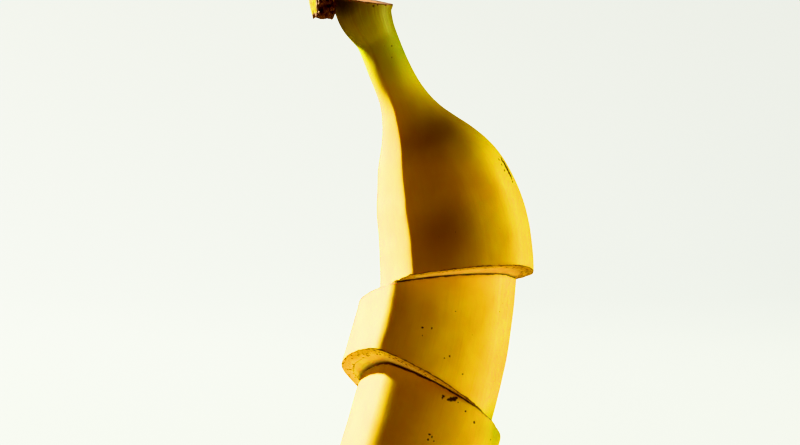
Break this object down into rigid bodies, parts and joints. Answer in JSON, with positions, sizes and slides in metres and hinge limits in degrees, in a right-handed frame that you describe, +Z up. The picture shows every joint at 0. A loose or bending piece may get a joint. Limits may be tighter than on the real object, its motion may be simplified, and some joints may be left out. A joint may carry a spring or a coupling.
{
  "type": "sliced unpeeled banana",
  "caption": "Ripe banana in its peel, standing stem up, cut crosswise into chunks that have slid a little on each other, with the flesh showing at each cut",
  "frame": {"origin": "centre of the lowest cut face, which the banana stands on", "axes": "+Z up towards the stem, -Y towards the front, and the banana's two ends bend towards -X"},
  "size_m": [0.0563, 0.0446, 0.133],
  "materials": {
    "peel": null,
    "flesh": null
  },
  "bodies": {
    "root": {"peel_top": "peel", "flesh_top": "flesh", "peel_middle": "peel", "flesh_middle": "flesh", "peel_lower": "peel", "flesh_lower": "flesh"}
  },
  "joints": []
}
